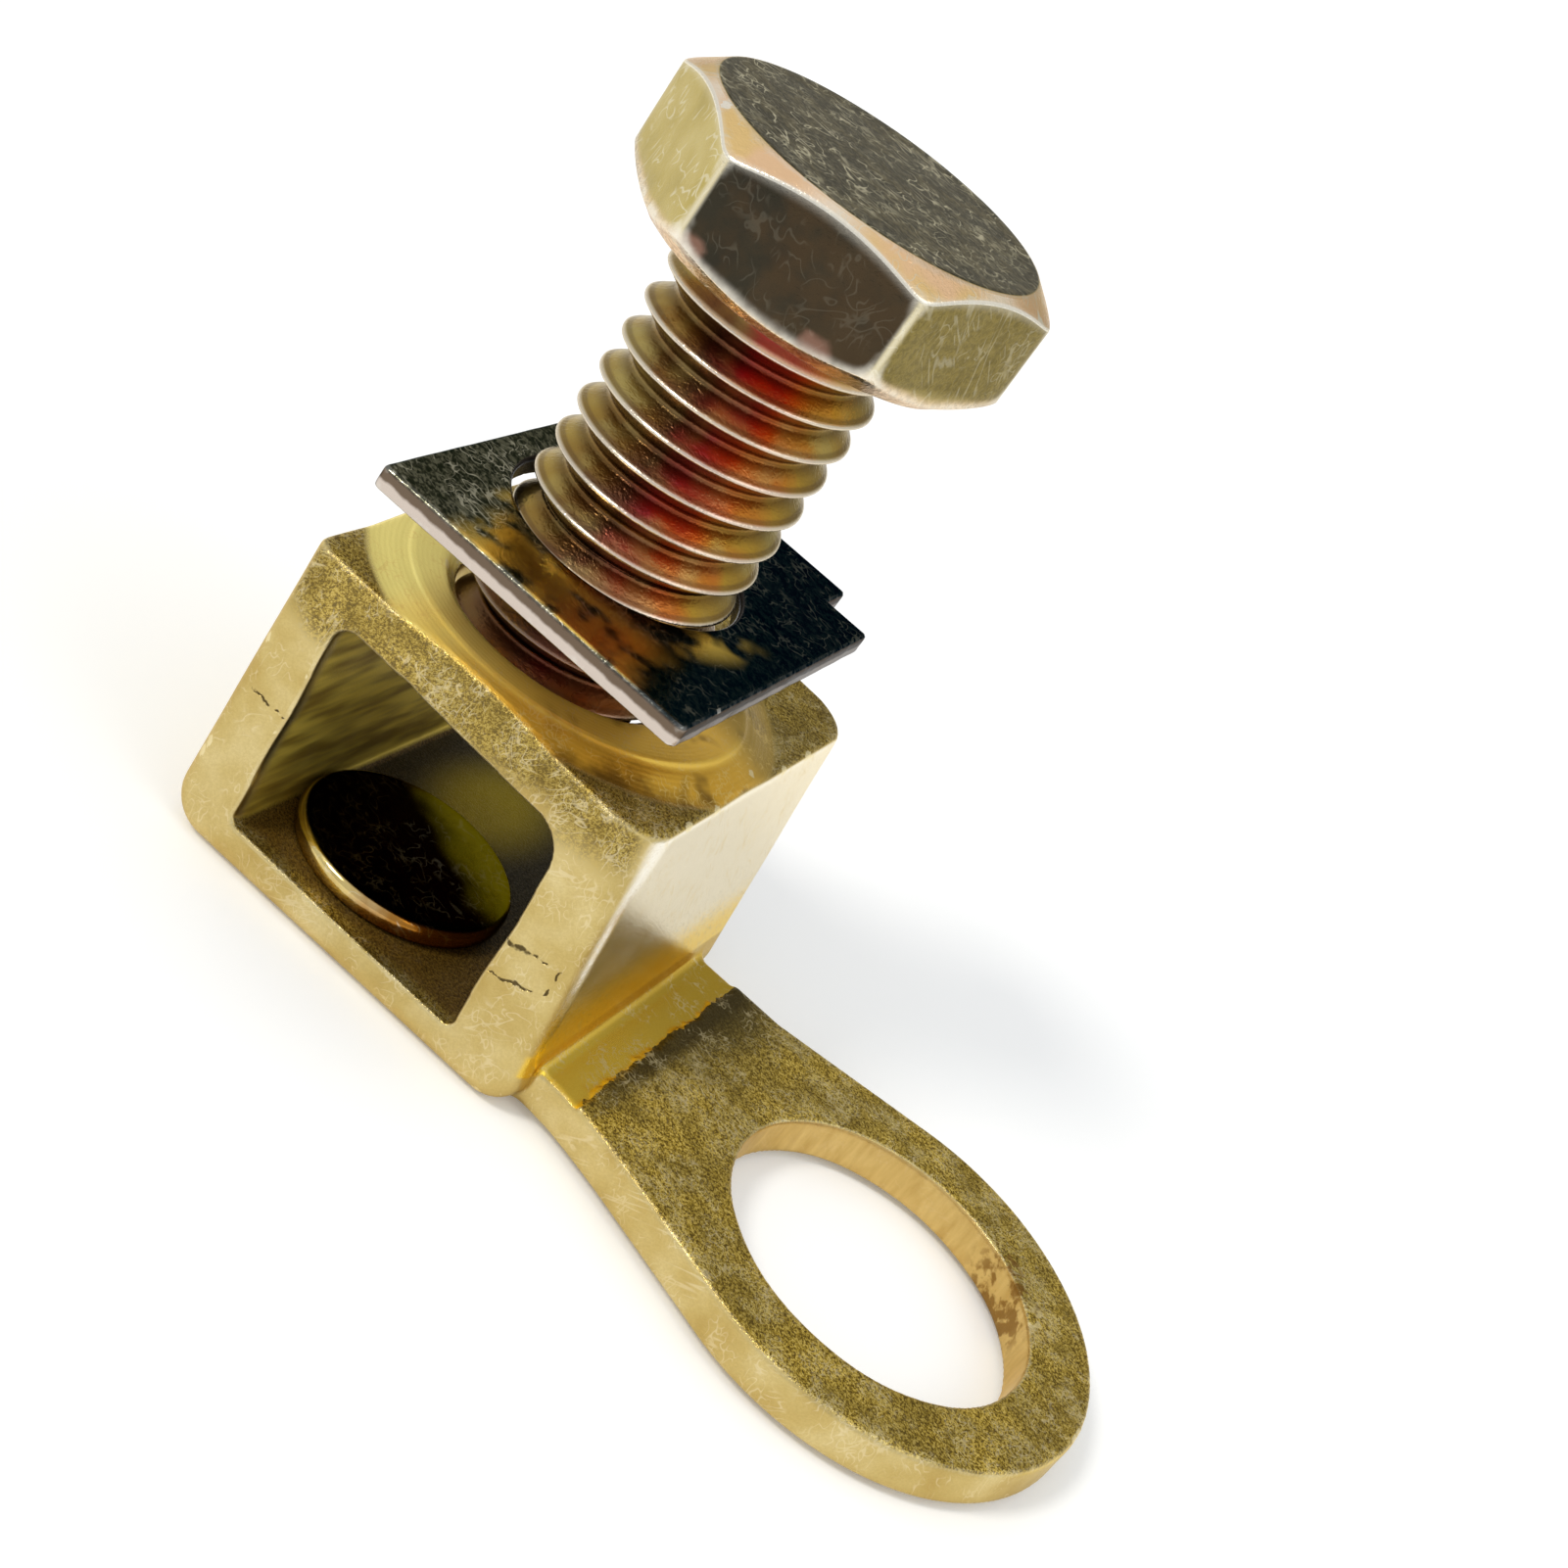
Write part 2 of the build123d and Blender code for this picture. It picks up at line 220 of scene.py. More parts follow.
def lug_field(x, y, z):
    """Cage, tab and ring, less the cable passage, the bolt hole and the stud hole."""
    up = z / CAGE_H
    left = -x - (LEFT + LEFT_LEAN * up)
    right = (x - (RIGHT - RIGHT_LEAN * up)) * 0.993
    front = -y - FRONT
    back = y - (BACK + BACK_LEAN * up)
    # top: cast flats with the turned seat standing a little above them
    r = np.hypot(x - SEAT[0], y - SEAT[1])
    flats = CAST_TOP - 0.30 * ramp(x, 2, 9.5) + 0.03 * np.sin(x * 0.9 + 1) * np.sin(y * 0.7)
    left_over = 1 - ramp(r, SEAT_R, SEAT_FOOT_R) * 0.75 - 0.25 * ramp(r, *SEAT_STEP)
    seat = flats + (SEAT_TOP - flats) * left_over
    top = z - np.where(r < SEAT_FOOT_R, seat, flats)
    bottom = 0.02 - z
    body = meet(np.maximum(left, right), bottom, 1.8)
    near = 1.0 + 1.1 * ramp(z, 9.5, 13.4) * ramp(x, 0, 5)
    body = meet(body, front, near)
    body = meet(body, back, 2.1)
    body = meet(body, top, 0.32)

    # tab and ring
    front_touch, back_touch = touch(*FRONT_NECK, RING_X, RING_R), touch(*BACK_NECK, RING_X, RING_R)
    neck = polygon_distance(x, y, [(5, FRONT_NECK[1]), FRONT_NECK, front_touch, (RING_X, 0),
                                   back_touch, BACK_NECK, (5, BACK_NECK[1])])
    ring_r = np.hypot(x - RING_X, y)
    plan = np.minimum(neck, ring_r - RING_R)
    neck_in = np.minimum(np.abs(x - FRONT_NECK[0]) / 3.5, 1)
    plan = plan - 0.22 * (1 - neck_in) ** 2 * (y < 0)
    edge = BAND_X + 0.10 * np.sin(y * 1.9 + 0.5) + 0.06 * np.sin(y * 5.3) + 0.04 * np.sin(y * 9.7)
    tab_top = TAB_TOP - MILLED * (1 - ramp(x, edge - 0.1, edge + 0.1))
    tab = meet(plan, np.maximum(z - tab_top, TAB_UNDER - z), 0.26)
    stud = STUD_R + 0.012 * np.sin(np.arctan2(y, x - RING_X) * 9) - ring_r
    tab = meet(tab, stud, 0.16)
    body = join(body, tab, 0.45)

    # cable passage
    left_wall = -x - (PASS_LEFT + 0.045 * (z - 1.7)) - 0.04 * np.sin(z * 1.3 + 1)
    right_wall = x - (PASS_RIGHT - 0.055 * (z - 1.7)) - 0.05 * np.sin(z * 1.1)
    roof = z - (PASS_TOP - 0.40 * ramp(x, -5, 6.6)) - 0.05 * np.exp(-((x + 1.6) ** 2) * 3)
    floor_face = FLOOR_Z - z + 0.10 * ramp(-x, -2, 5)
    passage = meet(np.maximum(left_wall, right_wall), floor_face, 0.42)
    passage = meet(passage, roof, 0.8 + 0.75 * ramp(x, 0, 4))
    body = meet(body, -passage, 0.14)

    # bolt hole with its countersunk mouth
    bore = np.maximum(np.hypot(x, y) - BORE_R - np.maximum(0, z - MOUTH_Z) * 1.25, 11 - z)
    body = meet(body, -bore, 0.05)
    return body + 0.022 * ripple(x, y, z, wave) + 0.007 * ripple(x, y, z, pits)


cell = 0.135
lug = surface("lug_casting", lug_field, (-8.1, -10.6, -0.2), (35.6, 12.3, 14.4), cell, 190000)


# ------------------------------------------------------------------ bolt
PITCH = 1.5875
CREST_R = 4.745
DEPTH = 0.90
TIP_Z, HEAD_Z = 12.12, 30.22
CREST_AT_Z = 27.45
HEAD_FLATS, HEAD_TURN = 14.2875, math.radians(12.0)
HEAD_BASE, HEAD_TOP, HEAD_TOP_R = 30.52, 35.53, 6.85
LOW_SLOPE, TOP_SLOPE = 0.62, 0.64
bumps = rand_field(21, 16, 0.8, 2.6)


def thread_rows():
    """Rows that run round the screw line, so that the crests stay crisp."""
    first_turn, last_turn, cols = -6, 20, 160
    profile = [(0.0, 0.0), (0.045, 0.01), (0.085, 0.09), (0.42, 0.90), (0.47, 0.985), (0.53, 1.0),
               (0.58, 0.985), (0.63, 0.90), (0.965, 0.09)]
    rows = []
    for k in range(first_turn, last_turn):
        for share, deep in profile:
            theta = np.arange(cols) / cols * 2 * math.pi
            z = TIP_Z + PITCH * (k + share) + PITCH * theta / (2 * math.pi)
            rows.append(np.stack([theta, z, np.full(cols, deep)], -1))
    rows = np.array(rows)
    # one column more, a pitch higher, closes each turn on the next
    last = rows[:, :1].copy()
    last[..., 0] = 2 * math.pi
    last[..., 1] += PITCH
    rows = np.concatenate([rows, last], 1)
    theta, z, deep = rows[..., 0], rows[..., 1], rows[..., 2]
    front = math.radians(-90)
    theta = theta + front + (CREST_AT_Z - TIP_Z) / PITCH * -2 * math.pi
    fade = 1 - ramp(z, HEAD_Z - 1.5, HEAD_Z - 0.3) * 0.55
    r = CREST_R - DEPTH * deep * fade
    r = r - 0.75 * (1 - ramp(z, TIP_Z, TIP_Z + 0.9))
    nick = ripple(r * np.cos(theta), r * np.sin(theta), z, bumps)
    r = r - 0.03 * (1 - deep) * np.clip(nick, 0, 1)
    z = np.clip(z, TIP_Z, HEAD_Z + 0.3)
    return np.stack([r * np.cos(theta), r * np.sin(theta), z], -1)


thread = grid_mesh("bolt_thread", thread_rows(), closed=False)


def head_rows():
    """Rings from the head's underside over its lower chamfer, flats and upper chamfer to the flat top."""
    half = HEAD_FLATS / 2 - 0.02
    side = math.radians(60)
    steps = 60
    theta = np.concatenate([HEAD_TURN + math.radians(60 * k) + side * (np.arange(steps) / steps)
                            for k in range(6)])
    off = (theta - HEAD_TURN) % side - side / 2
    flat = half / np.cos(off)
    corner = half / math.cos(side / 2)
    hexr = -0.10 * np.logaddexp(-flat / 0.10, -(corner - 0.16) / 0.10)
    top, seat_z, base, top_r = HEAD_TOP, HEAD_Z, HEAD_BASE, HEAD_TOP_R
    rows = []

    def ring(r, z, rough=0.0):
        """One ring of points; rough pulls it in here and there."""
        r = np.broadcast_to(r, theta.shape).astype(float)
        z = np.broadcast_to(z, theta.shape).astype(float)
        w = ripple(r * np.cos(theta), r * np.sin(theta), z, bumps)
        rr = r - rough * np.abs(w)
        rows.append(np.stack([rr * np.cos(theta), rr * np.sin(theta), z + 0.25 * rough * w], -1))

    # underside and lower chamfer
    low = base - 0.05 + np.maximum(hexr - 6.75, 0) * LOW_SLOPE
    ring(0.01, seat_z)
    ring(4.9, seat_z)
    ring(6.10, seat_z + 0.01, 0.04)
    ring(6.45, seat_z + 0.04, 0.08)
    ring(6.70, seat_z + 0.14, 0.08)
    for t in (0.0, 0.33, 0.66):
        ring(6.78 + (hexr - 6.84) * t, base - 0.08 + (low - base + 0.05) * t, 0.04)
    ring(hexr - 0.05, low - 0.02, 0.03)
    ring(hexr, low + 0.06, 0.012)
    # flats, upper chamfer and top
    fall = np.maximum(hexr - top_r, 0) * TOP_SLOPE
    edge = top - 0.10 - fall
    for t in (0.2, 0.4, 0.6, 0.8):
        ring(hexr, low + 0.06 + (edge - low - 0.18) * t, 0.012)
    ring(hexr, edge - 0.12, 0.012)
    ring(hexr - 0.02, edge - 0.03, 0.012)
    ring(hexr - 0.08, edge + 0.035, 0.015)
    for t in (0.25, 0.5, 0.75):
        ring(hexr - 0.08 + (top_r - hexr + 0.08) * t, edge + 0.035 + (top - 0.03 - edge - 0.035) * t, 0.02)
    ring(top_r, top - 0.03, 0.02)
    ring(top_r - 0.12, top, 0.02)
    for r in (6.4, 5.6, 4.6, 3.4, 2.2, 1.1, 0.01):
        ring(r, top - 0.004 * r, 0.012)
    return np.array(rows)


head = grid_mesh("bolt_head", head_rows())
both = bmesh.new()
both.from_mesh(head.data)
both.from_mesh(thread.data)
both.to_mesh(head.data)
both.free()
bpy.data.objects.remove(thread)
bolt = head
bolt.name = bolt.data.name = "hex_bolt"
for poly in bolt.data.polygons:
    poly.use_smooth = True


# ------------------------------------------------------------------ plate washer
W_MID, W_HALF, W_FRONT, W_BACK = 0.85, 7.25, 9.33, 10.07
W_UNDER, W_TOP = 17.62, 18.58
W_HOLE, W_HOLE_R, W_OVAL = (0.05, -0.3), 5.00, 0.943
TONGUE_HALF, NOTCH_Y = W_HALF - 2.15, 8.13
burr = rand_field(33, 14, 1.2, 4.0)


def washer_field(x, y, z):
    """Plate with two notches, the tongue between them and an oval hole."""
    across = np.abs(x - W_MID)
    blank = np.maximum(across - W_HALF, np.maximum(-W_FRONT - y, y - W_BACK))
    notch = np.maximum(TONGUE_HALF - across, NOTCH_Y - y)
    plan = meet(blank, -notch, 0.12)
    plan = np.maximum(plan, meet(across - W_HALF, -W_FRONT - y, 0.35))
    plan = meet(plan, W_HOLE_R - np.hypot(x - W_HOLE[0], (y - W_HOLE[1]) * W_OVAL), 0.02)
    plan = plan + 0.02 * ripple(x, y, z * 0, burr)
    # rolled over at the top edge, torn at the lower one
    body = meet(plan, z - W_TOP, 0.22)
    ragged = 0.05 * ripple(x, y, z * 2, burr) * ramp(-z, -18.1, -17.7)
    return meet(body + ragged, W_UNDER - z, 0.08)


cell = 0.085
plate = surface("plate_washer", washer_field, (-6.9, -9.7, 17.35), (8.5, 10.4, 18.8), cell, 120000)


# ------------------------------------------------------------------ pressure disc
DISC_AT = (0.25, -2.0)
DISC_PROFILE = ((0.01, 1.72), (4.35, 1.72), (4.62, 1.79), (4.74, 1.92), (4.79, 2.1), (4.79, 2.38), (4.75, 2.55),
                (4.66, 2.67), (4.52, 2.735), (4.35, 2.745), (4.0, 2.73), (3.0, 2.68), (1.5, 2.65), (0.01, 2.64))


def disc_rows():
    """Rings of the turned disc from the middle of its underside to the middle of its top."""
    cols = 180
    theta = np.arange(cols) / cols * 2 * math.pi
    return np.array([np.stack([DISC_AT[0] + r * np.cos(theta), DISC_AT[1] + r * np.sin(theta), np.full(cols, z)], -1)
                     for r, z in DISC_PROFILE])


disc = grid_mesh("disc_plain", disc_rows())


# ------------------------------------------------------------------ shader helpers
class Nodes:
    """Short calls for building a node tree."""

    def __init__(self, tree):
        self.tree = tree

    def add(self, kind, *inputs, **settings):
        node = self.tree.nodes.new(kind)
        named = settings.pop("named", {})
        for key, value in settings.items():
            setattr(node, key, value)
        for i, value in enumerate(inputs):
            self.plug(node.inputs[i], value)
        for key, value in named.items():
            self.plug(node.inputs[key], value)
        return node

    def plug(self, socket, value):
        """Links a socket or a node to the socket, or sets its value."""
        if isinstance(value, bpy.types.NodeSocket):
            self.tree.links.new(value, socket)
        elif isinstance(value, bpy.types.Node):
            self.tree.links.new(value.outputs[0], socket)
        else:
            socket.default_value = value

    def math(self, kind, *inputs, clamp=False):
        return self.add("ShaderNodeMath", *inputs, operation=kind, use_clamp=clamp).outputs[0]

    def fold(self, kind, values, clamp=False):
        """The values put together one after another; only the last step clamps."""
        total = values[0]
        for count, value in enumerate(values[1:], 2):
            total = self.math(kind, total, value, clamp=clamp and count == len(values))
        return total

    def times(self, *values, clamp=False):
        return self.fold("MULTIPLY", values, clamp)

    def plus(self, *values):
        return self.fold("ADD", values)

    def most(self, *values):
        return self.fold("MAXIMUM", values)

    def minus(self, a, b, clamp=False):
        return self.math("SUBTRACT", a, b, clamp=clamp)

    def absolute(self, value):
        return self.math("ABSOLUTE", value)

    def scaled(self, vector, factor):
        """The vector times a number or a socket."""
        return self.add("ShaderNodeVectorMath", operation="SCALE",
                        named={"Vector": vector, "Scale": factor}).outputs[0]

    def off_centre(self, value, size):
        """Noise about 0.5 turned into a drift about 0."""
        return self.times(self.minus(value, 0.5), size)

    def vmath(self, kind, *inputs):
        node = self.add("ShaderNodeVectorMath", *inputs, operation=kind)
        return node.outputs["Value"] if kind in ("DOT_PRODUCT", "LENGTH", "DISTANCE") else node.outputs[0]

    def turned(self, vector, angles):
        node = self.add("ShaderNodeVectorRotate", rotation_type="EULER_XYZ",
                        named={"Vector": vector, "Rotation": angles})
        return node.outputs[0]

    def noise(self, vector, scale, detail=3.0, rough=0.55, distortion=0.0):
        return self.add("ShaderNodeTexNoise", named={"Vector": vector, "Scale": scale, "Detail": detail,
                                                     "Roughness": rough, "Distortion": distortion}).outputs["Fac"]

    def ragged(self, value, place, scale, detail, size):
        """The value with a noise of that size added, for a border that wanders."""
        return self.plus(value, self.times(self.noise(place, scale, detail), size))

    def from_axis(self, place, centre, squash=(1, 1, 0)):
        """Distance from an upright axis through centre, or from a point where squash keeps z."""
        away = self.vmath("SUBTRACT", place, centre if len(centre) == 3 else (*centre, 0))
        return self.vmath("LENGTH", self.vmath("MULTIPLY", away, squash))

    def sway(self, vector, scale):
        """Three noises about 0 that push a point to and fro."""
        node = self.add("ShaderNodeTexNoise", named={"Vector": vector, "Scale": scale})
        return self.vmath("SUBTRACT", node.outputs["Color"], (0.5, 0.5, 0.5))

    def step(self, value, low, high, a=0.0, b=1.0):
        """From a to b as the value goes from low to high, smooth at both ends."""
        return self.add("ShaderNodeMapRange", value, low, high, a, b, interpolation_type="SMOOTHSTEP").outputs[0]

    def line(self, value, low, high, a=0.0, b=1.0):
        return self.add("ShaderNodeMapRange", value, low, high, a, b).outputs[0]

    def mix(self, share, a, b):
        """Colour a, turned into colour b by share."""
        node = self.tree.nodes.new("ShaderNodeMix")
        node.data_type = "RGBA"
        node.clamp_factor = True
        self.plug(node.inputs[0], share)
        for socket, value in ((node.inputs[6], a), (node.inputs[7], b)):
            self.plug(socket, (*value, 1.0) if isinstance(value, tuple) and len(value) == 3 else value)
        return node.outputs[2]

    def ramp(self, value, stops):
        node = self.add("ShaderNodeValToRGB", value)
        bar = node.color_ramp
        while len(bar.elements) < len(stops):
            bar.elements.new(0.5)
        for element, (place, colour) in zip(bar.elements, stops):
            element.position = place
            element.color = (*colour, 1.0)
        return node.outputs[0]

    def group(self, tree, **inputs):
        node = self.tree.nodes.new("ShaderNodeGroup")
        node.node_tree = tree
        for key, value in inputs.items():
            self.plug(node.inputs[key], value)
        return node


def new_group(name, inputs, outputs):
    """Empty node group with named sockets."""
    tree = bpy.data.node_groups.new(name, "ShaderNodeTree")
    for label, kind, value in inputs:
        socket = tree.interface.new_socket(label, in_out="INPUT", socket_type=kind)
        if value is not None:
            socket.default_value = value
    for label, kind in outputs:
        tree.interface.new_socket(label, in_out="OUTPUT", socket_type=kind)
    n = Nodes(tree)
    return tree, n, tree.nodes.new("NodeGroupInput"), tree.nodes.new("NodeGroupOutput")


VEC, VAL = "NodeSocketVector", "NodeSocketFloat"


def fine_scratches():
    """Short, slightly bent scratches that lie three ways and come in patches."""
    tree, n, gi, go = new_group("fine_scratches", [("Vector", VEC, None), ("Spacing", VAL, 1.0),
                                                   ("Amount", VAL, 0.5)], [("Mask", VAL)])
    masks = []
    for k, (angle, long, offset) in enumerate(((0.45, 0.16, 3.1), (1.55, 0.22, 8.7), (2.7, 0.14, 15.3))):
        turned = n.turned(gi.outputs["Vector"], (angle * 0.7, angle * 0.4 + 0.3, angle))
        moved = n.vmath("ADD", n.vmath("MULTIPLY", turned, (long, 3.4, 3.4)), (offset, offset, offset))
        fac = n.noise(n.scaled(moved, gi.outputs["Spacing"]), 1.0, 0.0, 0.5, 0.35)
        thin = n.step(n.absolute(n.minus(fac, 0.5)), 0.01, 0.05, 1.0, 0.0)
        gate = n.step(n.noise(turned, 0.55 + 0.15 * k, 1.0), 0.53, 0.64)
        masks.append(n.times(thin, gate))
    n.plug(go.inputs["Mask"], n.times(n.most(*masks), gi.outputs["Amount"], clamp=True))
    return tree


def tumbled_flecks():
    """Small dark and bright flecks with short fibres, and a slow cloud."""
    tree, n, gi, go = new_group("tumbled_flecks", [("Vector", VEC, None), ("Size", VAL, 1.0)],
                                [("Flecks", VAL), ("Height", VAL), ("Cloud", VAL)])
    v = n.scaled(gi.outputs["Vector"], gi.outputs["Size"])
    fine = n.noise(v, 4.2, 2.0, 0.62)
    short = n.noise(n.vmath("MULTIPLY", n.turned(v, (0.5, 0.2, 0.8)), (1.0, 4.2, 4.2)), 1.8, 1.0, 0.6, 0.9)
    both = n.plus(n.times(fine, 0.5), n.times(short, 0.5))
    n.plug(go.inputs["Flecks"], n.step(both, 0.38, 0.62))
    n.plug(go.inputs["Height"], both)
    n.plug(go.inputs["Cloud"], n.noise(v, 0.42, 2.0, 0.55))
    return tree


def hair_crack():
    """Dark crack along a short line between two points, waving a little."""
    tree, n, gi, go = new_group("hair_crack", [("Vector", VEC, None), ("From", VEC, None), ("To", VEC, None),
                                               ("Width", VAL, 0.05)], [("Mask", VAL)])
    p = n.vmath("ADD", gi.outputs["Vector"], n.scaled(n.sway(gi.outputs["Vector"], 2.2), 0.45))
    span = n.vmath("SUBTRACT", gi.outputs["To"], gi.outputs["From"])
    rel = n.vmath("SUBTRACT", p, gi.outputs["From"])
    t = n.math("DIVIDE", n.vmath("DOT_PRODUCT", rel, span), n.vmath("DOT_PRODUCT", span, span), clamp=True)
    far = n.vmath("DISTANCE", rel, n.scaled(span, t))
    tail = n.times(gi.outputs["Width"], n.line(n.absolute(n.minus(t, 0.45)), 0.0, 0.6, 1.2, 0.35))
    n.plug(go.inputs["Mask"], n.minus(1.0, n.math("DIVIDE", far, tail, clamp=True)))
    return tree


def edge_wear_and_highlight():
    """Pale mask on sharp edges: bare metal where an edge has rubbed, and painted edge highlights."""
    tree, n, gi, go = new_group("edge_wear_and_highlight", [("Vector", VEC, None), ("Point", VAL, 0.5), ("Low", VAL, 0.52),
                                               ("High", VAL, 0.58)], [("Mask", VAL)])
    drift = n.off_centre(n.noise(gi.outputs["Vector"], 1.6, 2.0), 0.03)
    share = n.math("DIVIDE", n.minus(n.plus(gi.outputs["Point"], drift), gi.outputs["Low"]),
                   n.minus(gi.outputs["High"], gi.outputs["Low"]), clamp=True)
    n.plug(go.inputs["Mask"], share)
    return tree


SCRATCHES, FLECKS, CRACK, EDGE_WEAR_AND_HIGHLIGHT = fine_scratches(), tumbled_flecks(), hair_crack(), edge_wear_and_highlight()


def scratches(n, place, spacing):
    return n.group(SCRATCHES, Vector=place, Spacing=spacing, Amount=1.0).outputs["Mask"]


def tumble(n, place, size):
    """Flecks, their height, and the slow cloud behind them."""
    node = n.group(FLECKS, Vector=place, Size=size)
    return node.outputs["Flecks"], node.outputs["Height"], node.outputs["Cloud"]


def wear_and_highlight_mask(n, place, low, high):
    point = n.add("ShaderNodeNewGeometry").outputs["Pointiness"]
    return n.group(EDGE_WEAR_AND_HIGHLIGHT, Vector=place, Point=point, Low=low, High=high).outputs["Mask"]


def bump(n, shader, height, strength, depth=0.00006):
    node = n.add("ShaderNodeBump", named={"Height": height, "Strength": strength, "Distance": depth})
    n.plug(shader.inputs["Normal"], node)


def material(name):
    """New metal: the material, its node calls, its shader, the place in mm and the normal."""
    mat = bpy.data.materials.new(name)
    mat.use_nodes = True
    tree = mat.node_tree
    tree.nodes.clear()
    n = Nodes(tree)
    out = tree.nodes.new("ShaderNodeOutputMaterial")
    shader = tree.nodes.new("ShaderNodeBsdfPrincipled")
    tree.links.new(shader.outputs[0], out.inputs[0])
    coords = n.add("ShaderNodeTexCoord")
    place = n.scaled(coords.outputs["Object"], 1 / MM)
    return mat, n, shader, place, coords.outputs["Normal"]


def split(n, vector):
    """The three parts of a vector."""
    node = n.add("ShaderNodeSeparateXYZ", vector)
    return node.outputs[0], node.outputs[1], node.outputs[2]


# ------------------------------------------------------------------ brass of the casting
TORN_AT = (30.2, 5.6, 1.5)
BURR_AT = (31.35, 4.2, 2.2)
GLOW_AT = (-0.2, 6.0, 2.2)
CRACKS = (((-6.9, -7.9, 7.05), (-4.9, -7.9, 7.0), 0.10), ((6.74, -7.9, 6.32), (8.8, -7.9, 6.86), 0.15),
          ((7.14, -7.9, 4.86), (9.35, -7.9, 5.67), 0.10), ((9.35, -7.9, 5.67), (9.41, -7.9, 7.37), 0.08))


def cast_brass():
    """Worn sides, tumbled upper faces, turned seat, milled wall and band, and a passage in painted shade, with
    painted highlights, reflections and shadows on the seat, wall, tab, ring and edges.
    """
    mat, n, shader, P, normal = material("cast_brass")
    x, y, z = split(n, P)
    nx, ny, nz = split(n, normal)
    seat_r = n.from_axis(P, SEAT)
    high = n.step(z, 12.6, 13.0)
    seat = n.times(high, n.step(seat_r, 9.1, 9.5, 1.0, 0.0))
    seat = n.times(seat, n.step(nz, 0.55, 0.8))
    wall = n.times(n.step(nx, 0.75, 0.93), n.step(x, 8.6, 9.0))
    wall = n.times(wall, n.step(z, 2.0, 2.4))
    ragged = n.plus(BAND_X, n.off_centre(n.noise(P, 1.3, 3.0), 0.7))
    band = n.times(n.math("LESS_THAN", x, ragged), n.step(x, 9.8, 10.2), n.step(z, 1.9, 2.1))
    band = n.times(band, n.step(z, 2.9, 3.2, 1.0, 0.0), n.step(ny, -0.85, -0.6))
    milled = n.most(wall, band, seat)
    upward = n.step(nz, 0.45, 0.8)
    cast_up = n.times(upward, n.minus(1.0, milled), clamp=True)
    fleck, grain, _ = tumble(n, P, 2.1)
    cloud = n.noise(P, 0.42, 2.0, 0.55)
    scratch = scratches(n, P, 1.0)
    # smooth worn sides
    side = n.ramp(cloud, [(0.25, (0.50, 0.35, 0.105)), (0.5, (0.60, 0.46, 0.175)), (0.75, (0.71, 0.58, 0.28))])
    side = n.mix(n.times(fleck, 0.22), side, (0.40, 0.27, 0.08))
    # tumbled upper faces
    rough_up = n.ramp(fleck, [(0.1, (0.13, 0.08, 0.012)), (0.42, (0.40, 0.26, 0.030)), (0.70, (0.64, 0.44, 0.058)),
                              (0.95, (0.92, 0.68, 0.18))])
    rough_up = n.mix(n.step(cloud, 0.35, 0.7, 0.45, 0.0), rough_up, (0.10, 0.07, 0.016))
    fibres = scratches(n, P, 2.4)
    rough_up = n.mix(n.times(fibres, 0.6), rough_up, (0.96, 0.78, 0.30))
    on_cage = n.step(x, 11.0, 10.4)
    rough_up = n.mix(n.times(on_cage, 0.38), rough_up, (0.07, 0.04, 0.008))
    # painted shadow line along the step beyond the milled band
    step_shadow_line = n.times(n.step(n.absolute(n.minus(x, 13.05)), 0.95, 0.2),
                        n.step(n.ragged(y, P, 0.8, 2.0, 6.0), -5.0, 1.0, 0.25, 1.0))
    rough_up = n.mix(n.times(step_shadow_line, 0.85), rough_up, (0.035, 0.022, 0.006))
    shade = n.times(n.step(x, 17.0, 13.5), n.step(y, -3.0, 5.0), n.step(x, 12.0, 12.6))
    rough_up = n.mix(n.times(shade, 0.85), rough_up, (0.05, 0.035, 0.01))
    # the bar over the passage is as mottled as the faces above it
    over = n.plus(z, n.off_centre(cloud, 3.0), n.times(x, -0.05))
    over = n.times(n.step(over, 10.6, 12.0), n.step(ny, -0.55, -0.85))
    tumbled = n.most(cast_up, n.times(over, 0.85))
    colour = n.mix(tumbled, side, rough_up)
    # turned seat: gold on the left with a painted highlight, orange and brown to the right
    seat_highlight_fade = n.step(n.ragged(x, P, 0.8, 2.0, 2.0), -4.0, 3.5)
    turned = n.mix(seat_highlight_fade, (1.0, 0.85, 0.28), (0.95, 0.62, 0.10))
    # painted shadow of the washer on the seat behind the bolt
    washer_shadow_on_seat = n.step(y, 0.5, 3.5)
    foot = n.times(n.step(seat_r, 7.6, 7.9), n.step(n.plus(x, n.times(y, -0.8)), 3.0, 10.0))
    turned = n.mix(n.times(foot, 0.75), turned, (0.68, 0.36, 0.028))
    stain = n.times(n.step(n.ragged(n.minus(x, y), P, 0.7, 3.0, 5.0), 13.4, 16.0),
                    n.step(seat_r, 7.3, 7.8))
    turned = n.mix(n.times(stain, 0.88), turned, (0.12, 0.06, 0.010))
    turned = n.mix(n.times(n.step(cloud, 0.50, 0.66), n.step(x, 1.0, 6.0)), turned, (0.16, 0.08, 0.012))
    # painted shade on the seat next to the bore's mouth, under the washer
    turned = n.mix(n.step(seat_r, 5.35, 5.05), turned, (0.08, 0.045, 0.015))
    turned = n.mix(n.times(washer_shadow_on_seat, 0.8), turned, (0.34, 0.23, 0.05))
    turned = n.mix(n.times(scratch, 0.55), turned, (0.85, 0.62, 0.20))
    colour = n.mix(seat, colour, turned)
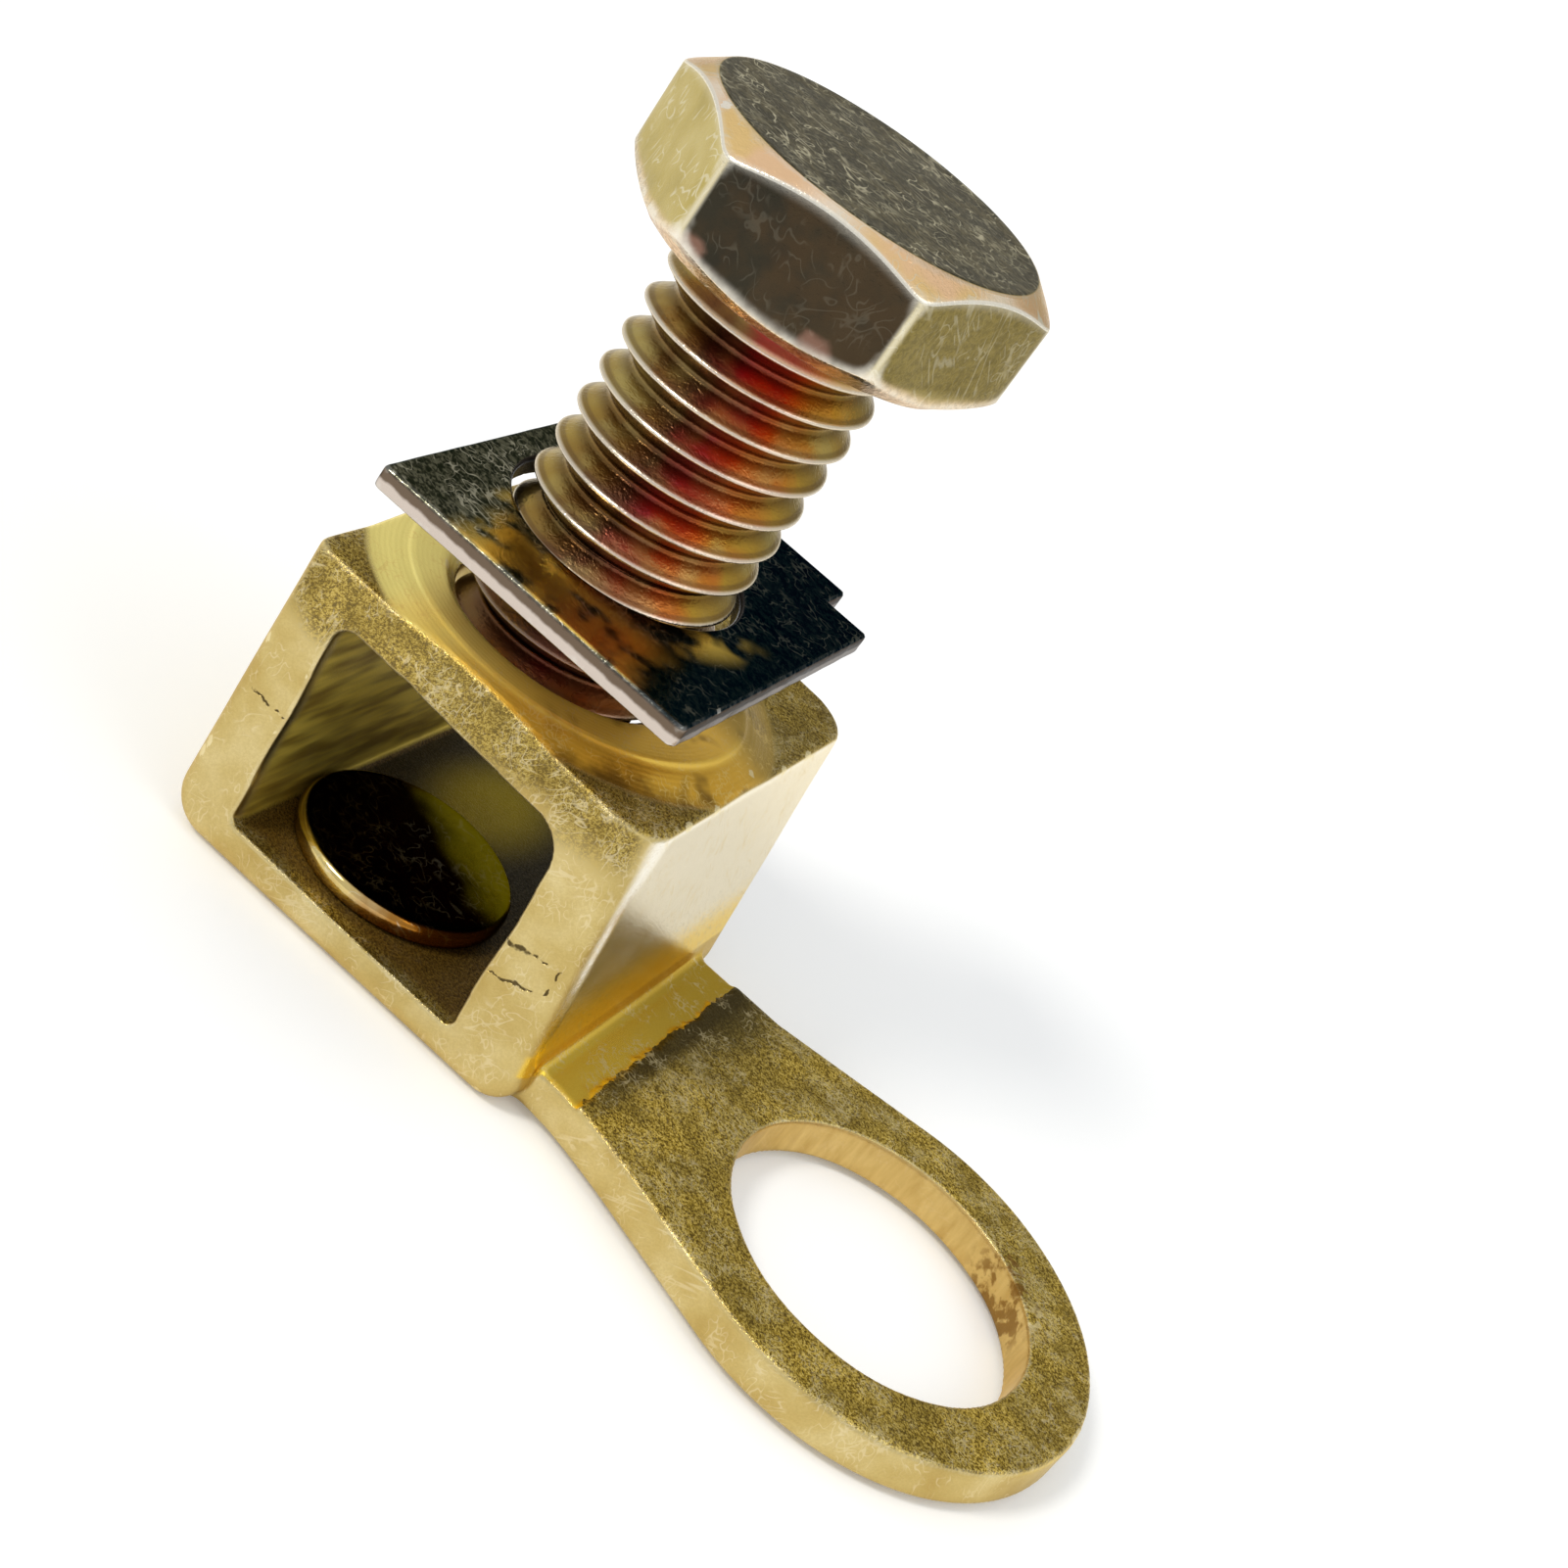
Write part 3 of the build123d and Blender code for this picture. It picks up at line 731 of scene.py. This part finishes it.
    # painted reflections on the milled right wall: pale above, gold lower down, with darker specks
    wall_reflection = n.mix(n.step(n.plus(z, n.off_centre(fleck, 1.2)), 3.9, 6.2), (1.0, 0.72, 0.11), (0.94, 0.90, 0.80))
    specks = n.times(n.step(n.noise(P, 5.5, 1.0), 0.62, 0.70), n.step(z, 9.5, 4.5))
    wall_reflection = n.mix(n.times(specks, 0.6), wall_reflection, (0.42, 0.38, 0.27))
    colour = n.mix(wall, colour, wall_reflection)
    colour = n.mix(band, colour, n.mix(n.step(y, -6, 6), (0.82, 0.56, 0.075), (0.58, 0.38, 0.045)))
    # fine scratches and the cracks
    colour = n.mix(n.times(scratch, 0.45, n.minus(1.0, seat)), colour, (0.80, 0.68, 0.42))
    cracks = n.most(*(n.group(CRACK, Vector=P, From=start, To=end, Width=width).outputs["Mask"]
                      for start, end, width in CRACKS))
    cracks = n.step(cracks, 0.05, 0.6)
    colour = n.mix(n.times(cracks, 0.9), colour, (0.05, 0.03, 0.01))
    # pale mark at the burr on the ring: a painted highlight
    burr_highlight = n.times(n.step(n.vmath("DISTANCE", P, BURR_AT), 1.3, 0.5), n.step(n.noise(P, 1.9, 2.0), 0.45, 0.55))
    colour = n.mix(n.times(burr_highlight, 0.6), colour, (0.93, 0.78, 0.42))
    # pale edges: rubbed metal, partly a painted highlight along the edges
    edge = wear_and_highlight_mask(n, P, 0.52, 0.57)
    slant = n.times(n.step(n.absolute(nz), 0.2, 0.35), n.step(n.absolute(nz), 0.97, 0.9))
    corner = n.times(n.step(n.absolute(nx), 0.2, 0.35), n.step(n.absolute(nx), 0.97, 0.9))
    edge = n.times(edge, n.most(slant, n.times(corner, n.step(x, 10.5, 10.0))))
    colour = n.mix(n.times(edge, 0.7), colour, (0.90, 0.79, 0.48))
    # inside the passage: painted shade, olive and dark, darker towards the back, with olive-gold on the left wall
    deep = n.times(n.step(y, -7.7, -6.8), n.step(y, 11.4, 10.6))
    inner = n.times(n.step(x, -5.4, -5.2), n.step(x, 7.25, 7.4, 1.0, 0.0), n.step(z, 1.4, 1.6),
                    n.step(z, 11.9, 12.0, 1.0, 0.0))
    inner = n.times(inner, deep)
    passage_shade_and_glow = n.mix(fleck, (0.045, 0.022, 0.003), (0.17, 0.095, 0.014))
    passage_shade_and_glow = n.mix(n.step(x, -4.4, -4.6), passage_shade_and_glow,
                 n.mix(n.step(n.noise(n.vmath("MULTIPLY", P, (1, 0.25, 1.6)), 0.8, 2.0), 0.3, 0.7),
                       (0.26, 0.16, 0.012), (0.80, 0.60, 0.09)))
    passage_shade_and_glow = n.mix(n.times(n.step(y, -5.0, 4.0), n.step(x, -4.4, -4.2)), passage_shade_and_glow, (0.02, 0.014, 0.004))
    # painted glow of reflected light on the far floor of the passage
    glow = n.step(n.from_axis(P, GLOW_AT, (1.0, 0.6, 0.7)), 3.6, 0.8)
    passage_shade_and_glow = n.mix(n.times(glow, 0.85), passage_shade_and_glow, (0.62, 0.46, 0.012))
    colour = n.mix(n.times(inner, 0.94), colour, passage_shade_and_glow)
    # wall of the ring's hole: cutter marks and a torn place
    ring_r = n.from_axis(P, (RING_X, 0))
    bore = n.times(n.step(ring_r, STUD_R + 0.28, STUD_R + 0.13), n.step(n.absolute(nz), 0.8, 0.5))
    marks = n.noise(n.vmath("MULTIPLY", P, (1, 1, 0.25)), 2.6, 2.0)
    colour = n.mix(n.times(bore, 0.8), colour, n.mix(marks, (0.42, 0.24, 0.05), (0.80, 0.58, 0.22)))
    torn = n.step(n.vmath("DISTANCE", P, TORN_AT), 3.2, 1.6)
    torn = n.times(torn, n.step(n.noise(P, 1.5, 3.0), 0.44, 0.56))
    colour = n.mix(n.times(torn, n.step(ring_r, 8.4, 7.6), 0.8), colour, (0.20, 0.09, 0.015))
    n.plug(shader.inputs["Base Color"], colour)
    n.plug(shader.inputs["Metallic"], n.minus(n.minus(1.0, n.times(tumbled, 0.2)),
                                              n.most(n.times(inner, 0.5), n.times(seat, 0.4)), clamp=True))
    shader.inputs["Specular Tint"].default_value = (0.94, 0.85, 0.66, 1.0)
    shader.inputs["Specular IOR Level"].default_value = 0.2
    rough = n.mix(tumbled, n.line(cloud, 0.2, 0.8, 0.40, 0.28), n.line(fleck, 0.0, 1.0, 0.50, 0.26))
    rough = n.minus(rough, n.times(milled, 0.12))
    n.plug(shader.inputs["Roughness"], n.plus(rough, n.times(inner, 0.12)))
    height = n.times(grain, n.line(tumbled, 0.0, 1.0, 0.35, 1.5))
    rings = n.math("SINE", n.times(seat_r, 30.0))
    height = n.plus(height, n.times(rings, seat, 0.05))
    height = n.minus(height, n.times(cracks, 1.5))
    bump(n, shader, height, 0.55)
    return mat


# ------------------------------------------------------------------ yellow zinc on the bolt
RAINBOW = [(0.0, (0.36, 0.27, 0.055)), (0.18, (0.46, 0.31, 0.06)), (0.34, (0.30, 0.18, 0.04)),
           (0.5, (0.11, 0.045, 0.025)), (0.6, (0.40, 0.038, 0.045)), (0.7, (0.56, 0.12, 0.02)),
           (0.82, (0.46, 0.27, 0.035)), (1.0, (0.28, 0.20, 0.05))]
# how each side of the head faces: the front one with its painted dark reflection, the right one in painted shade,
# and the third pair
FRONT_WAY, RIGHT_WAY, THIRD_WAY = (0.208, -0.978), (0.951, -0.309), (0.743, 0.669)
CHIPS = (((-1.85, -7.6, 31.25), 0.75), ((3.35, -6.45, 30.95), 0.85))


def yellow_zinc():
    """Rainbow film on the thread with painted crest highlights and painted shade in the roots and under the washer,
    and a head with a different tone on each face: painted reflections and shade.
    """
    mat, n, shader, P, normal = material("yellow_zinc")
    x, y, z = split(n, P)
    nx, ny, nz = split(n, normal)
    fleck, grain, patch = tumble(n, P, 0.9)
    scratch = scratches(n, P, 0.75)
    sway = n.sway(P, 1.4)
    radius = n.from_axis(P, (0, 0))
    angle = n.math("ARCTAN2", x, n.times(y, -1.0))
    drift = n.off_centre(n.noise(P, 0.35, 2.0), 1.1)
    film = n.line(n.plus(angle, drift), -1.9, 1.9)
    head_mask = n.step(z, 30.1, 30.3)
    hue = n.ramp(film, RAINBOW)
    crest_highlight = n.step(radius, 4.60, 4.73)
    hue = n.mix(n.times(n.step(patch, 0.45, 0.7), 0.45), hue, (0.55, 0.47, 0.17))
    # painted shade in the thread's roots and below the washer
    hue = n.mix(n.step(radius, 4.35, 3.9, 0.0, 0.6), hue, (0.07, 0.03, 0.012))
    hue = n.mix(n.step(z, 17.7, 17.2, 0.0, 0.75), hue, (0.09, 0.035, 0.02))
    # painted shade line just under the crests, then pale crests: worn metal with a painted highlight, dimmer below
    # the washer
    under_crest_shade = n.times(n.step(radius, 4.42, 4.52), n.step(radius, 4.68, 4.60))
    hue = n.mix(n.times(under_crest_shade, 0.45), hue, (0.10, 0.05, 0.03))
    crest_highlight = n.times(crest_highlight, n.step(z, 16.9, 17.8, 0.25, 1.0))
    hue = n.mix(n.times(crest_highlight, 0.75), hue, (0.80, 0.72, 0.60))
    olive = n.ramp(patch, [(0.2, (0.34, 0.27, 0.08)), (0.5, (0.49, 0.39, 0.13)), (0.8, (0.60, 0.50, 0.22))])
    # the top's near-black tone is a painted dark reflection, with patches and pale swirls of scratches on it
    top_face = n.step(nz, 0.93, 0.98)
    swirl = scratches(n, n.vmath("ADD", P, (7.0, 3.0, 1.0)), 0.62)
    top_reflection_and_scratches = n.ramp(fleck, [(0.15, (0.010, 0.010, 0.008)), (0.55, (0.028, 0.026, 0.020)),
                              (0.95, (0.12, 0.105, 0.075))])
    top_reflection_and_scratches = n.mix(n.step(n.noise(P, 0.75, 3.0), 0.45, 0.62), top_reflection_and_scratches,
                     n.mix(fleck, (0.05, 0.042, 0.027), (0.20, 0.17, 0.105)))
    swirl = n.times(swirl, n.step(n.noise(P, 0.5, 2.0), 0.40, 0.56))
    top_reflection_and_scratches = n.mix(n.times(swirl, 0.95), top_reflection_and_scratches, (0.92, 0.86, 0.68))
    # upper chamfer in peach: a painted reflection
    chamfer = n.times(n.step(nz, 0.35, 0.6), n.step(nz, 0.9, 0.96, 1.0, 0.0))
    head_tone = n.mix(top_face, olive, top_reflection_and_scratches)
    head_tone = n.mix(n.times(chamfer, 0.85), head_tone,
                      n.mix(n.step(patch, 0.4, 0.65), (1.0, 0.64, 0.38), (0.92, 0.62, 0.26)))
    facing, right_side, third = (n.plus(n.times(nx, way[0]), n.times(ny, way[1]))
                                 for way in (FRONT_WAY, RIGHT_WAY, THIRD_WAY))
    # the front face's near-black is a painted dark reflection; the right face's dark tone, lighter at its foot, is
    # painted shade
    dark_face_reflection = n.times(n.step(facing, 0.90, 0.965), n.step(z, 30.6, 30.9))
    right_face_shade = n.step(right_side, 0.9, 0.985)
    head_tone = n.mix(n.times(right_face_shade, 0.75), head_tone,
                      n.mix(n.step(z, 31.6, 30.7), n.mix(fleck, (0.06, 0.042, 0.009), (0.15, 0.11, 0.026)),
                            (0.50, 0.40, 0.16)))
    rolled = n.times(n.step(nz, -0.12, -0.35), n.step(radius, 5.0, 5.4))
    head_tone = n.mix(n.times(rolled, 0.85), head_tone,
                      n.mix(n.step(fleck, 0.3, 0.7), (0.62, 0.36, 0.18), (1.0, 0.68, 0.42)))
    head_tone = n.mix(n.times(dark_face_reflection, 0.94), head_tone,
                      n.mix(n.step(n.plus(n.noise(P, 0.9, 3.0), n.times(x, 0.05)), 0.3, 0.75),
                            (0.010, 0.011, 0.016), (0.036, 0.021, 0.017)))
    for place, size in CHIPS:
        chip = n.vmath("DISTANCE", n.vmath("ADD", P, n.scaled(sway, 0.6)), place)
        head_tone = n.mix(n.step(chip, size, size * 0.5, 0.0, 0.8), head_tone, (0.26, 0.14, 0.10))
    colour = n.mix(head_mask, hue, head_tone)
    fine = n.times(scratch, head_mask, n.minus(0.5, n.plus(n.times(dark_face_reflection, 0.46), n.times(right_face_shade, 0.3))))
    colour = n.mix(fine, colour, (0.78, 0.73, 0.56))
    # pale edges: rubbed metal, with painted highlights on the hex corners and along the top arris
    edge = wear_and_highlight_mask(n, P, 0.508, 0.545)
    flat = n.most(n.absolute(facing), n.absolute(right_side), n.absolute(third))
    edge = n.times(edge, n.step(flat, 0.99, 0.96), n.step(nz, 0.96, 0.85))
    upright = n.times(n.step(radius, 8.0, 8.06, 0.0, 0.7), n.step(n.absolute(nz), 0.5, 0.3))
    arris_highlight = n.times(n.step(nz, 0.06, 0.2), n.step(nz, 0.78, 0.62), n.step(z, 33.0, 33.4))
    edge = n.most(edge, upright, arris_highlight)
    colour = n.mix(n.times(edge, head_mask, 0.85), colour, (0.93, 0.88, 0.76))
    n.plug(shader.inputs["Base Color"], colour)
    shader.inputs["Metallic"].default_value = 1.0
    shader.inputs["Specular Tint"].default_value = (0.84, 0.80, 0.72, 1.0)
    n.plug(shader.inputs["Roughness"], n.line(patch, 0.2, 0.8, 0.18, 0.32))
    bump(n, shader, grain, 0.5)
    return mat


# ------------------------------------------------------------------ dull zinc on the washer
HOLE_SHADE_R = (5.08, 5.16)


def dull_zinc():
    """Dark tone painted for a dark reflection on top, olive and scratched on one side, blue-black on the other, with
    pale sheared edges, painted warm reflections and a hole wall in painted shade.
    """
    mat, n, shader, P, normal = material("dull_zinc")
    x, y, z = split(n, P)
    nz = split(n, normal)[2]
    fleck, grain, patch = tumble(n, P, 0.8)
    scratch = scratches(n, P, 0.8)
    # the dark tone stands in for a dark reflection of the top: painted
    tone = n.ramp(fleck, [(0.1, (0.05, 0.052, 0.034)), (0.5, (0.10, 0.098, 0.066)), (0.95, (0.22, 0.21, 0.15))])
    blue = n.step(n.ragged(n.plus(x, n.times(y, 0.2)), P, 0.5, 2.0, 3.0), 3.2, 5.6)
    tone = n.mix(n.times(blue, 0.9), tone, (0.015, 0.024, 0.030))
    tone = n.mix(n.times(scratch, n.line(blue, 0.0, 1.0, 0.85, 0.15)), tone, (0.66, 0.62, 0.50))
    edge = wear_and_highlight_mask(n, P, 0.52, 0.57)
    edge = n.times(edge, n.step(nz, 0.96, 0.9))
    rim = n.step(nz, 0.6, 0.2)
    rim_tone = n.mix(n.step(n.ragged(z, P, 1.5, 3.0, 0.25), 18.12, 18.28), (0.62, 0.53, 0.46),
                     (0.16, 0.115, 0.08))
    tone = n.mix(rim, tone, rim_tone)
    tone = n.mix(n.times(edge, 0.45), tone, (0.80, 0.77, 0.70))
    hole_r = n.from_axis(P, W_HOLE, (1, W_OVAL, 0))
    # painted warm reflections on upward faces, beside the hole and on the front corner
    warm_reflection = n.times(n.step(hole_r, 7.4, 5.8), n.step(x, -4.2, -3.0), n.step(n.noise(P, 0.42, 2.0), 0.44, 0.58))
    front_glow = n.times(n.step(y, -5.0, -6.8), n.step(x, -3.6, -1.6), n.step(x, 6.2, 4.4),
                         n.step(n.noise(P, 0.6, 2.0), 0.34, 0.54))
    warm_reflection = n.most(n.times(warm_reflection, n.step(y, 1.0, -3.0)), front_glow)
    warm_reflection = n.times(warm_reflection, n.step(nz, 0.55, 0.9))
    tone = n.mix(n.times(warm_reflection, 0.95), tone, (0.98, 0.66, 0.14))
    # painted shade: the hole's wall is dark and dull
    tone = n.mix(n.step(hole_r, *HOLE_SHADE_R[::-1]), tone, (0.03, 0.022, 0.016))
    n.plug(shader.inputs["Base Color"], tone)
    n.plug(shader.inputs["Metallic"], n.step(hole_r, *HOLE_SHADE_R, 0.1, 1.0))
    shader.inputs["Specular Tint"].default_value = (0.34, 0.36, 0.38, 1.0)
    shader.inputs["Specular IOR Level"].default_value = 0.05
    n.plug(shader.inputs["Roughness"], n.line(patch, 0.2, 0.8, 0.14, 0.30))
    bump(n, shader, n.times(grain, 0.5), 0.5)
    return mat


# ------------------------------------------------------------------ smooth steel of the disc
def disc_steel():
    """Top in painted shade, almost black and olive towards the back and right, the back of the rim in painted shade,
    and a rim that goes from gold to rust.
    """
    mat, n, shader, P, normal = material("disc_steel")
    x, y, _ = split(n, P)
    nz = split(n, normal)[2]
    fleck, grain, patch = tumble(n, P, 0.5)
    scratch = scratches(n, P, 0.7)
    tone = n.ramp(patch, [(0.2, (0.50, 0.37, 0.13)), (0.55, (0.78, 0.63, 0.26)), (0.85, (0.95, 0.85, 0.55))])
    rust = n.step(n.ragged(x, P, 1.2, 2.0, 3.0), 0.5, 4.5)
    tone = n.mix(rust, tone, (0.36, 0.15, 0.02))
    # painted shade at the back of the rim, deeper in the passage
    tone = n.mix(n.step(y, -3.5, -1.0), tone, (0.05, 0.033, 0.008))
    # painted shade on the top
    shade = n.mix(n.step(n.ragged(n.plus(n.times(x, 0.55), y), P, 0.5, 2.0, 2.0), 0.6, 3.4),
                  (0.006, 0.005, 0.006), (0.20, 0.16, 0.012))
    tone = n.mix(n.step(nz, 0.75, 0.95), tone, shade)
    tone = n.mix(n.times(scratch, n.step(nz, 0.95, 0.75, 0.05, 0.4)), tone, (0.8, 0.72, 0.55))
    n.plug(shader.inputs["Base Color"], tone)
    shader.inputs["Metallic"].default_value = 1.0
    shader.inputs["Specular Tint"].default_value = (0.45, 0.42, 0.36, 1.0)
    n.plug(shader.inputs["Roughness"], n.line(fleck, 0.0, 1.0, 0.10, 0.22))
    bump(n, shader, grain, 0.2, 0.00004)
    return mat


for piece, mat, body, node, slot in ((lug, cast_brass(), "lug", "lug", "lug_brass"),
                                     (bolt, yellow_zinc(), "bolt", "bolt", "bolt_plating"),
                                     (plate, dull_zinc(), "washer", "washer", "washer_plating"),
                                     (disc, disc_steel(), "lug", "pressure_disc", "disc_steel")):
    piece.data.materials.clear()
    piece.data.materials.append(mat)
    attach(piece, body)
    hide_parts(node)

# ------------------------------------------------------------------ floor, light and camera
floor_mesh = bpy.data.meshes.new("floor")
reach = 4
floor_mesh.from_pydata([(-reach, -reach, 0), (reach, -reach, 0), (reach, reach, 0), (-reach, reach, 0)], [],
                       [(0, 1, 2, 3)])
floor = bpy.data.objects.new("floor", floor_mesh)
scene.collection.objects.link(floor)
pale = bpy.data.materials.new("pale_floor")
pale.use_nodes = True
paint = pale.node_tree.nodes["Principled BSDF"]
paint.inputs["Base Color"].default_value = (0.93, 0.93, 0.925, 1)
paint.inputs["Roughness"].default_value = 0.9
paint.inputs["Specular IOR Level"].default_value = 0.1
n = Nodes(pale.node_tree)
# a little glow for what sees the floor, so that it comes out white and keeps its shadows
light_path = n.add("ShaderNodeLightPath")
seen = n.most(*(light_path.outputs["Is %s Ray" % kind] for kind in ("Camera", "Glossy", "Transmission")))
n.plug(paint.inputs["Emission Color"], n.mix(seen, (0.0, 0.0, 0.0), (0.14, 0.14, 0.14)))
paint.inputs["Emission Strength"].default_value = 1.0
floor.data.materials.append(pale)

world = bpy.data.worlds.new("studio")
scene.world = world
world.use_nodes = True
tree = world.node_tree
tree.nodes.clear()
n = Nodes(tree)
# the camera sees plain white; the metals see a pale studio that is darker at the back
ray = n.add("ShaderNodeLightPath").outputs["Is Camera Ray"]
way = n.add("ShaderNodeTexCoord").outputs["Generated"]
dark = n.vmath("DOT_PRODUCT", way, (-0.10, 0.86, 0.50))
sky = n.ramp(n.step(dark, 0.70, 0.97), [(0.0, (0.95, 0.97, 1.0)), (1.0, (0.56, 0.56, 0.50))])
studio = n.add("ShaderNodeBackground", named={"Color": sky, "Strength": 0.80})
white = n.add("ShaderNodeBackground", named={"Color": (1, 1, 1, 1), "Strength": 1.0})
n.add("ShaderNodeOutputWorld", n.add("ShaderNodeMixShader", ray, studio, white))


def sun(name, way, power, soft, colour=(1, 1, 1)):
    data = bpy.data.lights.new(name, "SUN")
    data.energy = power
    data.angle = math.radians(soft)
    data.color = colour
    obj = bpy.data.objects.new(name, data)
    scene.collection.objects.link(obj)
    obj.rotation_euler = Vector(way).to_track_quat("-Z", "Y").to_euler()


sun("key", (0.50, 0.62, -0.75), 1.25, 14, (1.0, 0.97, 0.90))
sun("fill", (-0.75, 0.15, -0.65), 0.3, 40, (0.95, 0.98, 1.0))

FRAME_PX, FOCAL_PX, SENSOR = 1601, 2623.9, 36.0
CAMERA_AT = (25.15, -87.20, 57.57)
camera_data = bpy.data.cameras.new("camera")
camera_data.sensor_width = SENSOR
camera_data.lens = FOCAL_PX / FRAME_PX * SENSOR
camera_data.clip_start = 0.005
camera_data.clip_end = 50
camera = bpy.data.objects.new("camera", camera_data)
scene.collection.objects.link(camera)
right = Vector((0.7410, 0.3915, 0.5456)).normalized()
ahead = Vector((-0.1500, 0.8884, -0.4338)).normalized()
down = ahead.cross(right).normalized()
right = down.cross(ahead).normalized()
turn = Matrix((right, -down, -ahead)).transposed().to_4x4()
camera.matrix_world = Matrix.Translation(Vector(CAMERA_AT) * MM) @ turn
scene.camera = camera
scene.view_settings.view_transform = "Standard"
